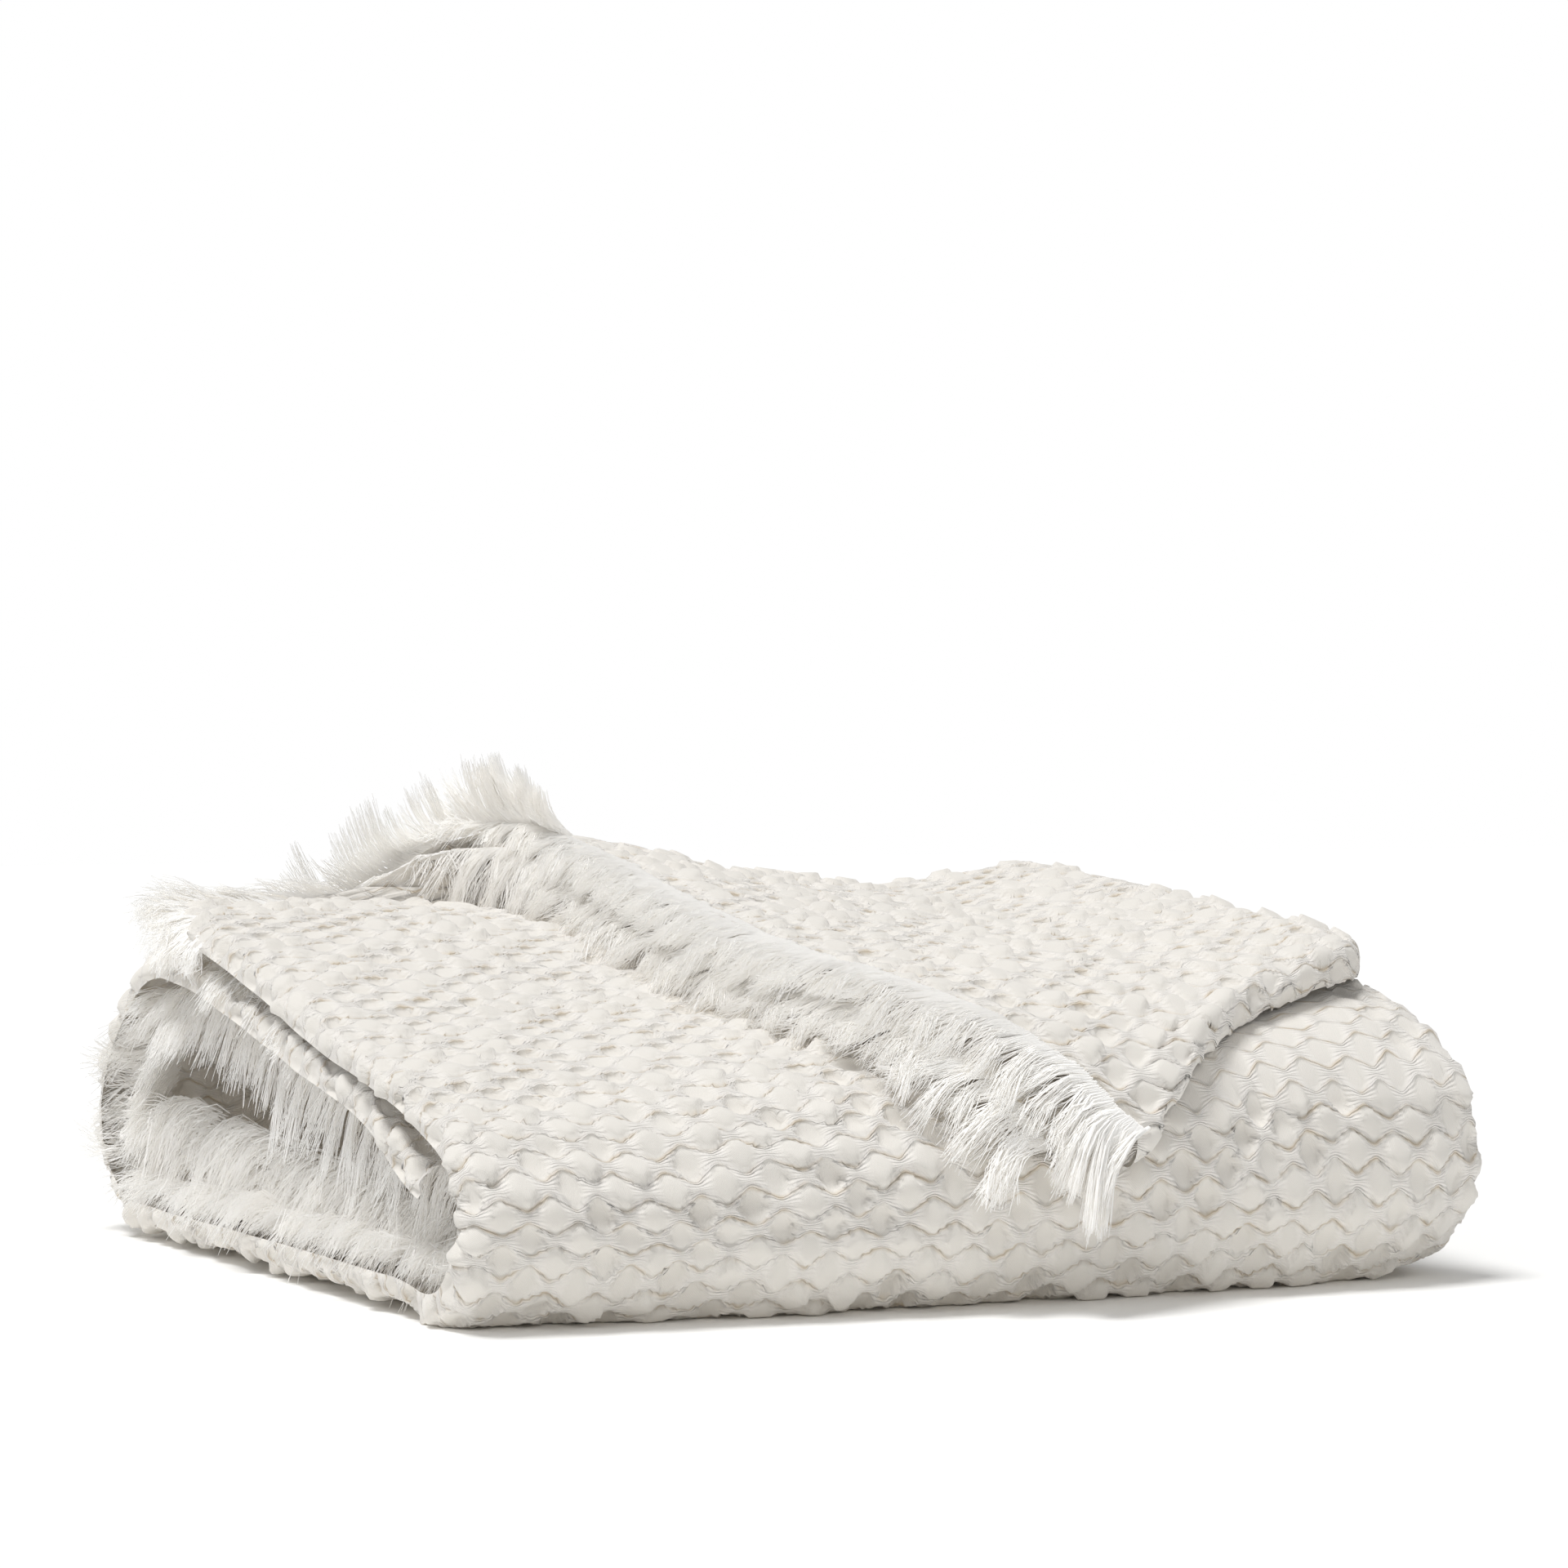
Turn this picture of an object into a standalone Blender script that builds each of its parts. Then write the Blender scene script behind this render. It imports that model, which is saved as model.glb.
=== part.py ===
"""Folded throw blanket: one cotton honeycomb cloth with its own fringe, as one solid.

The cloth is folded once across (the fold is the right end, the two fringed ends
meet at the left), then folded back and forth along its length: tucked end, back
curl, bottom, front fold, top, back fold, and a last section that lies askew over
the top and hangs over the front.  One section of two plies is swept along a spine
in the YZ plane; the spine's left and right shapes are given in the table.
Metres, +Z up, the bottom rests on Z = 0, the front looks to -Y.
"""
import bpy
import bmesh
import numpy as np
from math import radians, pi
from mathutils import Vector

# ---- driving dimensions (metres) ------------------------------------------------
WIDTH = 0.505           # bundle from the left end to the right fold
LEAN = 0.105            # the left end runs outward to the back by this much per metre
LOFT = 0.0095           # thickness of the honeycomb cloth
PITCH = 0.0130          # centre to centre of the two plies
RECESS = 0.028          # the inner ply stops this far inside the turned edge
HOOK_RADIUS = 0.0100    # radius of the outer ply's turned left edge
FLAP_CUT = 0.050        # share of its last rows that the last section stops short of
FLAP_SHORT = 0.165      # share by which it is shorter still at its right end
ROUND_FROM = 0.445      # the right end rounds off beyond this
ROUND_DROP = 0.085      # share it draws in by
BOW = 0.014             # the front bows out by this much in the middle
PER_ROW = 4             # stations between rows of the table
FRINGE_TAPER = 0.78     # width of a fringe lock at its tip
LOCK = 0.0050           # thickness of a fringe lock
TASSEL = ((-0.010, -0.004, -0.006), (-0.004, -0.002, -0.034))   # the hanging corner lock
REST = (0.235, 0.200, 0.0)   # middle of the resting face, moved to the origin

# ---- one row for each bend of the spine -----------------------------------------
# y/z of the spine at the left end and at the right end, the right fold, the left
# edges of the inner and of the outer ply, how far the outer ply's edge is turned
# (degrees), and the inner ply's fringe: reach outward and inward (mm) in two steps
COLUMNS = ("part", "y_l", "z_l", "y_r", "z_r", "right", "in_x", "out_x", "turn", "f1", "d1", "f2", "d2")
ROWS = (
    ("tuck",   0.022, 0.062, 0.034, 0.070, 0.500, 0, 0, 112, 13, 12, 18, 5),
    ("tuck",   0.074, 0.075, 0.084, 0.076, 0.502, 0, 0, 112, 13, 13, 20, 7),
    ("tuck",   0.145, 0.090, 0.145, 0.083, 0.503, 0, 0, 112, 13, 13, 21, 8),
    ("tuck",   0.233, 0.109, 0.233, 0.092, 0.503, 0, 0, 112, 13, 12, 20, 7),
    ("tuck",   0.315, 0.126, 0.312, 0.098, 0.503, 0, 0, 112, 13, 11, 18, 3),
    ("curl",   0.376, 0.125, 0.372, 0.098, 0.505, 0, 0, 112, 13, 10, 17, 0),
    ("curl",   0.421, 0.102, 0.418, 0.086, 0.508, 0, 0, 112, 13, 9, 16, -1),
    ("curl",   0.441, 0.066, 0.438, 0.060, 0.512, 0, 0, 112, 13, 8, 16, 0),
    ("curl",   0.432, 0.034, 0.430, 0.033, 0.514, 0, 0, 112, 13, 9, 17, 0),
    ("curl",   0.400, 0.0138, 0.400, 0.0138, 0.514, 0, 0, 112, 13, 11, 20, -2),
    ("bottom", 0.360, 0.01125, 0.360, 0.01125, 0.514, 0, 0, 112, 13, 12, 22, -4),
    ("bottom", 0.255, 0.01125, 0.255, 0.01125, 0.514, 0, 0, 112, 13, 13, 24, -5),
    ("bottom", 0.140, 0.01125, 0.140, 0.01125, 0.514, 0, 0, 112, 13, 13, 23, -5),
    ("bottom", 0.040, 0.01125, 0.040, 0.01125, 0.515, 0, 0, 112, 13, 12, 20, -3),
    ("front", -0.001, 0.0135, 0.001, 0.0135, 0.517, 0, 0, 112, 11, 7, 5, 0),
    ("front", -0.022, 0.032, -0.022, 0.036, 0.519, 0, 0, 112, 10, 5, 4, 0),
    ("front", -0.026, 0.057, -0.027, 0.073, 0.516, 0, 0, 112, 10, 5, 4, 0),
    ("front", -0.007, 0.080, -0.014, 0.107, 0.508, 0, 0, 112, 10, 5, 4, 0),
    ("top",    0.032, 0.096, 0.022, 0.128, 0.500, 0, 0, 112, 10, 3, 3, 0),
    ("top",    0.084, 0.109, 0.080, 0.138, 0.497, 0, 0, 112, 10, 2, 3, 0),
    ("top",    0.145, 0.123, 0.145, 0.142, 0.496, 0, 0, 112, 10, 2, 3, 0),
    ("top",    0.215, 0.142, 0.215, 0.144, 0.496, 0, 0, 112, 10, 2, 3, 0),
    ("top",    0.285, 0.159, 0.285, 0.146, 0.496, 0, 0, 80, 10, 2, 4, 0),
    ("top",    0.340, 0.1655, 0.340, 0.1465, 0.496, 0.016, 0.020, 0, 14, 3, 16, 0),
    ("back",   0.3746, 0.1662, 0.3746, 0.1472, 0.495, 0.028, 0.047, 0, 15, 4, 18, 2),
    ("back",   0.3833, 0.1713, 0.3833, 0.1523, 0.494, 0.066, 0.075, 0, 15, 4, 18, 2),
    ("back",   0.3867, 0.1807, 0.3867, 0.1617, 0.493, 0.1, 0.095, 0, 15, 5, 20, 4),
    ("back",   0.3833, 0.1901, 0.3833, 0.1711, 0.492, 0.135, 0.112, 0, 15, 5, 20, 4),
    ("back",   0.3746, 0.1952, 0.3746, 0.1762, 0.491, 0.16, 0.124, 0, 15, 5, 20, 4),
)
# the last section rides on the top rows, back to front; its plies' edges are given
# outright with its rise over the row below; the inner ply is now uppermost
FLAP_COLUMNS = ("row", "rise", "right", "in_x", "out_x", "f1", "d1", "f2", "d2")
FLAP = (
    (23, 0.0290, 0.490, 0.176, 0.134, 13, 12, 9, 26),
    (22, 0.0290, 0.488, 0.192, 0.150, 16, 6, 18, 8),
    (21, 0.0290, 0.486, 0.198, 0.160, 17, 0, 20, -2),
    (20, 0.0290, 0.484, 0.203, 0.170, 17, 0, 20, -2),
    (19, 0.0295, 0.482, 0.213, 0.184, 17, 0, 20, -2),
    (18, 0.0305, 0.480, 0.236, 0.204, 17, 0, 20, -2),
    (17, 0.0325, 0.477, 0.275, 0.236, 16, 0, 20, -2),
    (16, 0.0315, 0.475, 0.320, 0.272, 15, 0, 20, -2),
)
# how the last section swells and dips across, as rows of (x, rise)
SWELL = ((0.00, 0.0), (0.22, 0.001), (0.30, -0.007), (0.37, -0.011), (0.42, -0.003), (0.46, 0.005), (0.48, 0.003), (0.52, -0.004))


def start():
    """Empty the scene, whatever it was opened with."""
    for obj in list(bpy.data.objects):
        bpy.data.objects.remove(obj, do_unlink=True)
    bpy.context.scene.unit_settings.scale_length = 1.0


def spline(values, t):
    """A smooth curve through rows of (y, z, y, z) at row numbers t.

    The slope at a row halves the turn between its two neighbours and its pull is
    the chord's own length, so a tight fold next to a long run stays round.
    """
    v = np.asarray(values, float)
    t = np.asarray(t, float)
    i = np.clip(np.floor(t).astype(int), 0, len(v) - 2)
    f = (t - i)[:, None]
    out = np.empty((len(t), v.shape[1]))
    for side in range(0, v.shape[1], 2):
        p = v[:, side:side + 2]
        step = np.diff(p, axis=0)
        gap = np.linalg.norm(step, axis=1)[:, None]
        rate = step / gap
        slope = np.vstack([rate[:1], rate[:-1] + rate[1:], rate[-1:]])
        slope /= np.linalg.norm(slope, axis=1)[:, None]
        h = gap[i]
        out[:, side:side + 2] = ((2 * f ** 3 - 3 * f ** 2 + 1) * p[i]
                                 + (f ** 3 - 2 * f ** 2 + f) * h * slope[i]
                                 + (3 * f ** 2 - 2 * f ** 3) * p[i + 1]
                                 + (f ** 3 - f ** 2) * h * slope[i + 1])
    return out


def spine_table():
    """Every row of the spine: left y z, right y z, then the edge columns."""
    rows = [dict(zip(COLUMNS, r)) for r in ROWS]
    out = []
    for r in rows:
        lean = -LEAN * r["y_l"]
        out_x = r["out_x"] + lean if r["part"] != "back" else r["out_x"]
        in_x = r["in_x"] + lean + RECESS if r["part"] != "back" else r["in_x"]
        out.append([r["y_l"], r["z_l"], r["y_r"], r["z_r"], r["right"], in_x, out_x,
                    r["turn"], r["f1"], r["d1"], r["f2"], r["d2"]])
    base = np.array(out)
    over = []
    for f in FLAP:
        f = dict(zip(FLAP_COLUMNS, f))
        k = f["row"]
        lifted = []
        for side in (0, 2):
            tangent = base[k + 1, side:side + 2] - base[k - 1, side:side + 2]
            normal = np.array([-tangent[1], tangent[0]]) / np.hypot(*tangent)
            lifted += list(base[k, side:side + 2] + normal * f["rise"])
        over.append(lifted + [f["right"], f["in_x"], f["out_x"], 0, f["f1"], f["d1"], f["f2"], f["d2"]])
    return np.vstack([base, np.array(over)])


def stations(table):
    """Spine rows at every station; the edges run straight between rows."""
    t = np.linspace(0, len(table) - 1, (len(table) - 1) * PER_ROW + 1)
    smooth = spline(table[:, :4], t)
    rest = np.column_stack([np.interp(t, np.arange(len(table)), table[:, c])
                            for c in range(4, table.shape[1])])
    return t, np.column_stack([smooth, rest])


def shear_end(t, first, x):
    """The last section is shorter to the right: its row number pulled back."""
    share = np.clip((x - 0.30) / (WIDTH - 0.30), 0, 1)
    return np.where(t > first, t - (t - first) * (FLAP_CUT + FLAP_SHORT * share), t)


def section(x_right, x_in, x_out, turn):
    """Half-thickness outline of the two plies: points (x, n) round one closed loop.

    It runs along the inner ply, round the right fold, back along the outer ply and
    round its turned edge, first on one face of the cloth, then back on the other.
    """
    g = PITCH / 2
    right = x_right - g - LOFT / 2
    line = []                                            # (x, n, direction)
    for f in (0.0, 0.3, 0.66, 1.0):
        line.append((x_in + (right - x_in) * f, -g, 0.0))
    for a in (36, 72, 108, 144):
        line.append((right + g * np.sin(radians(a)), -g * np.cos(radians(a)), radians(a)))
    for f in (0.0, 0.34, 0.7, 1.0):
        line.append((right + (x_out + HOOK_RADIUS - right) * f, g, pi))
    r = HOOK_RADIUS
    steps = 3
    swept = radians(turn)
    reach = r * radians(112)
    x, n, a = line[-1][0], line[-1][1], pi
    for k in range(steps):
        a += swept / steps / 2
        x += np.cos(a) * reach / steps
        n += np.sin(a) * reach / steps
        a += swept / steps / 2
        line.append((x, n, a))
    near, far = [], []
    for x, n, a in line:
        near.append((x + np.sin(a) * LOFT / 2, n - np.cos(a) * LOFT / 2))
        far.append((x - np.sin(a) * LOFT / 2, n + np.cos(a) * LOFT / 2))
    return near + far[::-1], len(line)


def place(table, t, x, n):
    """A point of the section, put on the spine at row number t."""
    first = len(ROWS) - 1
    t = shear_end(np.array([t]), first, x)
    here = spline(table[:, :4], t)[0]
    step = 0.02
    low, high = np.maximum(t - step, 0), np.minimum(t + step, len(table) - 1)
    run = (spline(table[:, :4], high) - spline(table[:, :4], low))[0]
    share = np.clip(x / WIDTH, 0, 1)
    share = share * share * (3 - 2 * share)
    yz = here[:2] * (1 - share) + here[2:] * share
    tangent = run[:2] * (1 - share) + run[2:] * share
    normal = np.array([-tangent[1], tangent[0]]) / max(np.hypot(*tangent), 1e-9)
    yz = yz + normal * n
    bow = BOW * 4 * np.clip(x / WIDTH, 0, 1) * (1 - np.clip(x / WIDTH, 0, 1))
    yz[0] -= bow * np.clip((0.20 - yz[0]) / 0.20, 0, 1)
    past = max(0.0, (x - ROUND_FROM) / (WIDTH - ROUND_FROM))
    middle = np.array([0.20, 0.085])
    drawn = 1 - ROUND_DROP * past ** 2 * np.array([0.42, 1.0])
    yz = middle + (yz - middle) * drawn
    lift = np.interp(x, [r[0] for r in SWELL], [r[1] for r in SWELL])
    yz[1] += lift * np.clip((float(t[0]) - 17.0) / 3.0, 0, 1)
    yz[1] = max(yz[1], 0.0)              # its own weight presses the underside flat
    return Vector((x, yz[0], yz[1])) - Vector(REST)


def build_blanket():
    table = spine_table()
    t, rows = stations(table)
    bm = bmesh.new()
    rings, seam = [], 0
    for k, row in enumerate(rows):
        outline, seam = section(row[4], row[5], row[6], row[7])
        rings.append([bm.verts.new(place(table, t[k], x, n)) for x, n in outline])
    count = len(rings[0])
    inner_end, outer_end = [], []
    for k in range(len(rings) - 1):
        a, b = rings[k], rings[k + 1]
        for i in range(count):
            j = (i + 1) % count
            face = bm.faces.new((a[i], a[j], b[j], b[i]))
            if i == seam - 1:
                outer_end.append((k, face))
            elif i == count - 1:
                inner_end.append((k, face))
    for ring, flip in ((rings[0], False), (rings[-1], True)):
        for i in range(seam - 1):
            quad = (ring[i], ring[i + 1], ring[count - 2 - i], ring[count - 1 - i])
            bm.faces.new(quad[::-1] if not flip else quad)
    bmesh.ops.recalc_face_normals(bm, faces=bm.faces)

    # the cloth's own fringe: a lock on every other step of each open edge
    flap_from = (len(ROWS) - 1) * PER_ROW
    for k, face in inner_end:
        if k % 2 == 0 and not flap_from - PER_ROW <= k < flap_from + 2:
            grow_lock(bm, face, table, t[k], rows[k], -1.0)
    for k, face in outer_end:
        if k % 2 == 1 and k >= flap_from + PER_ROW:
            last = k + 2 >= len(rings) - 1
            grow_lock(bm, face, table, t[k], rows[k], 1.0, TASSEL if last else None)
    bmesh.ops.recalc_face_normals(bm, faces=bm.faces)
    mesh = bpy.data.meshes.new("blanket")
    bm.to_mesh(mesh)
    bm.free()
    for poly in mesh.polygons:
        poly.use_smooth = True
    obj = bpy.data.objects.new("blanket", mesh)
    bpy.context.scene.collection.objects.link(obj)
    return obj


def grow_lock(bm, face, table, t, row, side, moves=None):
    """Draw one fringe lock out of an edge face, in two steps."""
    f1, d1, f2, d2 = row[8:12] / 1000
    x0 = sum(v.co.x for v in face.verts) / 4 + REST[0]
    thin = (place(table, t, x0, -0.01) - place(table, t, x0, 0.0)).normalized()
    if moves is None:
        if side > 0:                # the lower row of the last section lies straight
            f1, d1, f2, d2 = 0.017, 0.0, 0.019, -0.001
        moves = [Vector((-reach, 0, 0)) + thin * depth for reach, depth in ((f1, d1), (f2, d2))]
    for k, move in enumerate(moves):
        made = bmesh.ops.extrude_discrete_faces(bm, faces=[face])
        face = made["faces"][0]
        middle = face.calc_center_median()
        across = LOCK / LOFT if k == 0 else 0.6
        along = 1.0 if k == 0 else FRINGE_TAPER
        for v in face.verts:
            off = v.co - middle
            flat = thin * off.dot(thin)
            v.co = middle + flat * across + (off - flat) * along + Vector(move)


def cotton():
    material = bpy.data.materials.new("cotton")
    material.use_nodes = True
    shader = material.node_tree.nodes["Principled BSDF"]
    shader.inputs["Base Color"].default_value = (0.84, 0.80, 0.71, 1.0)
    shader.inputs["Roughness"].default_value = 0.9
    return material


start()
blanket = build_blanket()
blanket.data.materials.append(cotton())
print("blanket", len(blanket.data.polygons), "faces")
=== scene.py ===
# %% [markdown]
# # A folded honeycomb throw
# The object is one cotton cloth: honeycomb weave, fringed at both ends, folded once
# across and then back and forth along its length, with its last section laid askew
# over the top.  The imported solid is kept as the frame.  This file lays a fine cloth,
# with its own relief and fringe, in that solid's place.

# %% Load the frame
from math import cos, pi, radians, sin

import bmesh
import bpy
import numpy as np
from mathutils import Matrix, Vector


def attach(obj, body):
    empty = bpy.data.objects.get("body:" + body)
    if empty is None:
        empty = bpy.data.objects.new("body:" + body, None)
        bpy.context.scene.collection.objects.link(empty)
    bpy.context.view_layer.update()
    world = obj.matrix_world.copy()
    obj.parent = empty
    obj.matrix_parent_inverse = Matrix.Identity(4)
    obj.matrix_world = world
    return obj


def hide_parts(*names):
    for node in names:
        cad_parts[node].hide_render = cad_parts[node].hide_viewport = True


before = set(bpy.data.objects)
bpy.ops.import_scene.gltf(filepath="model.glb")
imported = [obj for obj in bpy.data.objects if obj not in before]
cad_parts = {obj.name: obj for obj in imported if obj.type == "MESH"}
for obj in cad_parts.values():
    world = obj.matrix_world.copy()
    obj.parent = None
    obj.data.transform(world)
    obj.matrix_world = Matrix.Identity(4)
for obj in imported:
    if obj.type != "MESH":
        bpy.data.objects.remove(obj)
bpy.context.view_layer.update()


# %% Two helpers for every piece
def add_object(name, data):
    """An object of this name in the scene, at the origin, with its mesh, lamp or camera."""
    made = bpy.data.objects.new(name, data)
    bpy.context.scene.collection.objects.link(made)
    return made


def triangles(mesh):
    """How many triangles a mesh's faces come to."""
    return sum(len(p.vertices) - 2 for p in mesh.polygons)


print("the solid has", sum(triangles(made.data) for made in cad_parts.values()), "triangles")

# %% [markdown]
# ## The fold
# A real throw gets its folds by being laid down layer by layer.  Blender's Cloth could
# drop it the same way, but a simulated cloth rarely keeps a wanted fold: it has to be
# held at every layer, and it still drifts.  Here the fold is written down instead.  A
# spine, a curve seen from the side, gives the place of the doubled cloth at each row,
# once for the left end of the bundle and once for the right end, and the cloth is laid
# along it.  Its rows start from the solid's own.  The last section lies a little closer
# over the top than the solid's, and its under ply's left edge is drawn in further.

# %% Sizes of the bundle, in metres
WIDTH = 0.505            # from the left end to the right fold
LEAN = 0.105             # the left end runs outward to the back by this much per metre
LOFT = 0.0095            # thickness of the cloth with its relief
PITCH = 0.0130           # centre to centre of the two plies
HALF = PITCH / 2
RECESS = 0.028           # the inner ply stops this far inside the outer ply's turned edge
REST = (0.235, 0.200, 0.0)   # the point, in the fold's own measures, that is the frame's origin
print("bundle", WIDTH, "m across, with plies", PITCH, "m apart")

# %% The spine: the left and right end of each bend, and where the plies' edges are
COLUMNS = ("part", "left_y", "left_z", "right_y", "right_z", "right_fold", "inner_edge", "outer_edge", "turn")
ROWS = (
    ("tuck",   0.022, 0.062, 0.034, 0.070, 0.500, 0, 0, 112),
    ("tuck",   0.074, 0.075, 0.084, 0.076, 0.502, 0, 0, 112),
    ("tuck",   0.145, 0.090, 0.145, 0.083, 0.503, 0, 0, 112),
    ("tuck",   0.233, 0.109, 0.233, 0.092, 0.503, 0, 0, 112),
    ("tuck",   0.315, 0.126, 0.312, 0.098, 0.503, 0, 0, 112),
    ("curl",   0.376, 0.125, 0.372, 0.098, 0.505, 0, 0, 112),
    ("curl",   0.421, 0.102, 0.418, 0.086, 0.508, 0, 0, 112),
    ("curl",   0.441, 0.066, 0.438, 0.060, 0.512, 0, 0, 112),
    ("curl",   0.432, 0.034, 0.430, 0.033, 0.514, 0, 0, 112),
    ("curl",   0.400, 0.0138, 0.400, 0.0138, 0.514, 0, 0, 112),
    ("bottom", 0.360, 0.01125, 0.360, 0.01125, 0.514, 0, 0, 112),
    ("bottom", 0.255, 0.01125, 0.255, 0.01125, 0.514, 0, 0, 112),
    ("bottom", 0.140, 0.01125, 0.140, 0.01125, 0.514, 0, 0, 112),
    ("bottom", 0.040, 0.01125, 0.040, 0.01125, 0.515, 0, 0, 112),
    ("front", -0.001, 0.0135, 0.001, 0.0135, 0.517, 0, 0, 112),
    ("front", -0.022, 0.032, -0.022, 0.036, 0.519, 0, 0, 112),
    ("front", -0.026, 0.057, -0.027, 0.073, 0.516, 0, 0, 112),
    ("front", -0.007, 0.080, -0.014, 0.107, 0.508, 0, 0, 112),
    ("top",    0.032, 0.096, 0.022, 0.128, 0.500, 0, 0, 112),
    ("top",    0.084, 0.109, 0.080, 0.138, 0.497, 0, 0, 112),
    ("top",    0.145, 0.123, 0.145, 0.142, 0.496, 0, 0, 112),
    ("top",    0.215, 0.142, 0.215, 0.144, 0.496, 0, 0, 112),
    ("top",    0.285, 0.159, 0.285, 0.146, 0.496, 0, 0, 80),
    ("top",    0.340, 0.1655, 0.340, 0.1465, 0.496, 0.016, 0.020, 0),
    ("back",   0.3746, 0.1662, 0.3746, 0.1472, 0.495, 0.028, 0.047, 0),
    ("back",   0.3833, 0.1713, 0.3833, 0.1523, 0.494, 0.066, 0.075, 0),
    ("back",   0.3867, 0.1807, 0.3867, 0.1617, 0.493, 0.1, 0.104, 0),
    ("back",   0.3833, 0.1901, 0.3833, 0.1711, 0.492, 0.135, 0.133, 0),
    ("back",   0.3746, 0.1952, 0.3746, 0.1762, 0.491, 0.16, 0.154, 0),
)
print(len(ROWS), "rows from the tucked end to the back fold")

# %% The last section, which lies over rows of the top and the front
FLAP_COLUMNS = ("row", "rise", "right_fold", "inner_edge", "outer_edge")
FLAP = (
    (23, 0.0282, 0.490, 0.176, 0.170),
    (22, 0.0270, 0.488, 0.192, 0.184),
    (21, 0.0262, 0.486, 0.198, 0.190),
    (20, 0.0260, 0.488, 0.203, 0.197),
    (19, 0.0260, 0.490, 0.213, 0.208),
    (18, 0.0262, 0.492, 0.234, 0.224),
    (17, 0.0270, 0.492, 0.268, 0.248),
    (16, 0.0265, 0.492, 0.307, 0.276),
)
FLAP_FROM = len(ROWS) - 1               # row number where the last section begins
END = FLAP_FROM + len(FLAP)             # row number of its front edge


def spine_table():
    """Each row in numbers: left y and z, right y and z, right fold, inner and outer edge, turn."""
    below = []
    for row in ROWS:
        r = dict(zip(COLUMNS, row))
        free = r["part"] == "back"
        lean = 0 if free else -LEAN * r["left_y"]
        recess = 0 if free else RECESS
        below.append([r["left_y"], r["left_z"], r["right_y"], r["right_z"], r["right_fold"],
                      r["inner_edge"] + lean + recess, r["outer_edge"] + lean, r["turn"]])
    base = np.array(below)
    over = []
    for row in FLAP:
        f = dict(zip(FLAP_COLUMNS, row))
        k = f["row"]
        lifted = []
        for side in (0, 2):
            tangent = base[k + 1, side:side + 2] - base[k - 1, side:side + 2]
            normal = np.array([-tangent[1], tangent[0]]) / np.hypot(*tangent)
            lifted += list(base[k, side:side + 2] + normal * f["rise"])
        over.append(lifted + [f["right_fold"], f["inner_edge"], f["outer_edge"], 0])
    return np.vstack([base, np.array(over)])


TABLE = spine_table()
print("with the last section", len(TABLE), "rows")


# %% A smooth line through the rows, and its length
def spline(t):
    """The spine at row numbers t, as left y and z and right y and z: a smooth curve through the rows."""
    before = np.clip(np.floor(t).astype(int), 0, len(TABLE) - 2)
    f = (t - before)[:, None]       # share of the way from the row before to the row after
    out = np.empty((len(t), 4))
    for side in (0, 2):
        place = TABLE[:, side:side + 2]
        step = np.diff(place, axis=0)
        gap = np.linalg.norm(step, axis=1)[:, None]
        rate = step / gap
        slope = np.vstack([rate[:1], rate[:-1] + rate[1:], rate[-1:]])
        slope /= np.linalg.norm(slope, axis=1)[:, None]
        size = gap[before]
        out[:, side:side + 2] = ((2 * f ** 3 - 3 * f ** 2 + 1) * place[before]
                                 + (f ** 3 - 2 * f ** 2 + f) * size * slope[before]
                                 + (3 * f ** 2 - 2 * f ** 3) * place[before + 1]
                                 + (f ** 3 - f ** 2) * size * slope[before + 1])
    return out


def column(name, t):
    """A column of the table at row numbers t, straight between rows."""
    at = ("right_fold", "inner_edge", "outer_edge", "turn").index(name) + 4
    return np.interp(t, np.arange(len(TABLE)), TABLE[:, at])


SAMPLES = 2001           # points on the spine from which its length is measured
fine_rows = np.linspace(0, END, SAMPLES)
both_ends = spline(fine_rows)
steps = np.linalg.norm(np.diff((both_ends[:, :2] + both_ends[:, 2:]) / 2, axis=0), axis=1)
distances = np.concatenate([[0], np.cumsum(steps)])
LENGTH = distances[-1]


def row_at(along):
    """The row number at a distance along the cloth."""
    return np.interp(along, distances, fine_rows)


def distance_at(t):
    """The distance along the cloth at a row number."""
    return np.interp(t, fine_rows, distances)


print("spine", round(LENGTH, 3), "m long")

# %% [markdown]
# ## From flat cloth to folded cloth
# Every point of the cloth has two flat coordinates: `across`, its distance from the
# right fold (minus on the inner ply, plus on the outer ply), and `along`, its distance
# down the length.  One function takes them to the folded place, with a lift off the
# cloth's middle surface.  Curve or Lattice modifiers could bend a flat mesh too, but
# they can't turn one ply's left edge and leave the other, and they say nothing about
# where a loose thread should start.  The relief and the fringe both use this function,
# so they stay with the cloth wherever it goes.


# %% The doubled section: a round fold at the right, and a turned edge at the left
HOOK_RADIUS = 0.0100     # radius of the outer ply's turned left edge
HOOK_LENGTH = HOOK_RADIUS * radians(112)    # cloth in its turn of 112 degrees
LEAST_TURN = 0.5         # degrees; an edge that lies flat is turned by no less
BEND = HALF * pi / 2     # cloth from the middle of the right fold to the start of a ply
BOTTOM_ROW = 12.0        # a row of the bottom, where the cloth's width is measured


def smooth(x):
    """0 up to 0, 1 from 1 on, and an S curve between them."""
    x = np.clip(x, 0, 1)
    return x * x * (3 - 2 * x)


def ramp(value, start, reach):
    """Grows from 0 at start to 1 over reach; with a minus reach it grows the other way."""
    return smooth((value - start) / reach)


def edges(t):
    """The two edges of the cloth, as distances across from the right fold."""
    straight = column("right_fold", t) - HALF - LOFT / 2
    inner = -(straight - column("inner_edge", t) + BEND)
    outer = straight - column("outer_edge", t) - HOOK_RADIUS + BEND + HOOK_LENGTH
    return inner, outer


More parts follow.
